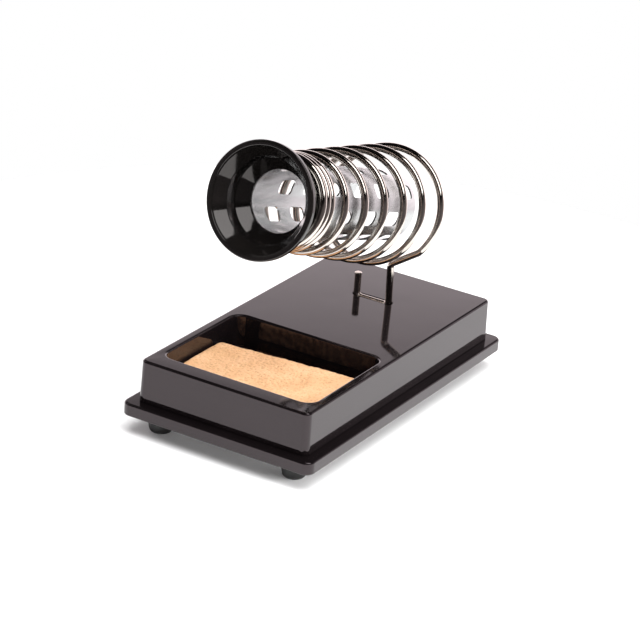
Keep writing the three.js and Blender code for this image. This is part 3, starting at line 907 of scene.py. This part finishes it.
def softbox(name, toward, width, height, power, mirrored=True):
    """A rectangular light that looks at the middle of the object from one direction."""
    data = bpy.data.lights.new(name, "AREA")
    data.shape = "RECTANGLE"
    data.size = width
    data.size_y = height
    data.energy = power
    lamp = bpy.data.objects.new(name, data)
    direction = Vector(toward).normalized()
    lamp.location = STUDIO_MIDDLE + direction * SOFTBOX_DISTANCE
    lamp.rotation_euler = direction.to_track_quat("Z", "Y").to_euler()
    lamp.visible_camera = False
    lamp.visible_glossy = mirrored
    bpy.context.scene.collection.objects.link(lamp)


def surroundings():
    """A white backdrop low down all round, a dark ceiling, and a dim room where the camera stands."""
    world = bpy.data.worlds.new("studio")
    bpy.context.scene.world = world
    world.use_nodes = True
    tree = world.node_tree
    background = tree.nodes["Background"]
    background.inputs["Strength"].default_value = 1.0
    azimuth = math.radians(CAMERA_AZIMUTH)
    direction = tree.nodes.new("ShaderNodeTexCoord").outputs["Generated"]

    def along(axis, stops, tint=(1.0, 1.0, 1.0)):
        """Light by the share of the direction that points along an axis, -1 to 1."""
        dot = tree.nodes.new("ShaderNodeVectorMath")
        dot.operation = "DOT_PRODUCT"
        dot.inputs[1].default_value = axis
        tree.links.new(direction, dot.inputs[0])
        unit = tree.nodes.new("ShaderNodeMapRange")
        unit.inputs["From Min"].default_value = -1
        tree.links.new(dot.outputs["Value"], unit.inputs["Value"])
        ramp = tree.nodes.new("ShaderNodeValToRGB")
        ramp.color_ramp.interpolation = "EASE"
        while len(ramp.color_ramp.elements) < len(stops):
            ramp.color_ramp.elements.new(0.5)
        for element, (share, level) in zip(ramp.color_ramp.elements, stops):
            element.position = (share + 1) / 2
            element.color = (*(level * part for part in tint), 1)
        tree.links.new(unit.outputs["Result"], ramp.inputs["Fac"])
        return ramp.outputs["Color"]

    def multiply(a, b):
        made = tree.nodes.new("ShaderNodeVectorMath")
        made.operation = "MULTIPLY"
        tree.links.new(a, made.inputs[0])
        tree.links.new(b, made.inputs[1])
        return made.outputs["Vector"]

    height = along((0, 0, 1), BACKDROP_BY_HEIGHT, BACKDROP_TINT)
    front = along((math.sin(azimuth), -math.cos(azimuth), 0), BACKDROP_BY_FRONT)
    lit = multiply(height, front)
    choose = tree.nodes.new("ShaderNodeMix")
    choose.data_type = "RGBA"
    seen = tree.nodes.new("ShaderNodeLightPath").outputs["Is Camera Ray"]
    factor, plain = choose.inputs[0], choose.inputs[7]
    tree.links.new(seen, factor)
    tree.links.new(lit, choose.inputs[6])
    plain.default_value = (1, 1, 1, 1)
    tree.links.new(choose.outputs[2], background.inputs["Color"])


def camera():
    """The viewer, set from its direction, distance and roll."""
    azimuth = math.radians(CAMERA_AZIMUTH)
    elevation = math.radians(CAMERA_ELEVATION)
    back = Vector((
        math.sin(azimuth) * math.cos(elevation),
        -math.cos(azimuth) * math.cos(elevation),
        math.sin(elevation),
    ))
    right = Vector((math.cos(azimuth), math.sin(azimuth), 0))
    up = back.cross(right)
    level = Matrix((right, up, back)).transposed().to_4x4()
    turn = level @ Matrix.Rotation(math.radians(CAMERA_ROLL), 4, "Z")
    data = bpy.data.cameras.new("camera")
    data.lens = CAMERA_LENS
    data.sensor_width = 36
    data.clip_start = 0.05
    viewer = bpy.data.objects.new("camera", data)
    viewer.matrix_world = Matrix.Translation(CAMERA_TARGET + back * CAMERA_DISTANCE) @ turn
    bpy.context.scene.collection.objects.link(viewer)
    bpy.context.scene.camera = viewer


camera()
surroundings()
studio()
for lamp_name, lamp_values in SOFTBOXES.items():
    softbox(lamp_name, **lamp_values)
bpy.context.scene.view_settings.view_transform = "Standard"

base_housing()
base_plate()
for corner_name in CORNERS:
    foot("foot_" + corner_name)
sponge()
mouthpiece()
heat_tube()
neck_sleeve()
coil_wire()
hidden_hardware()
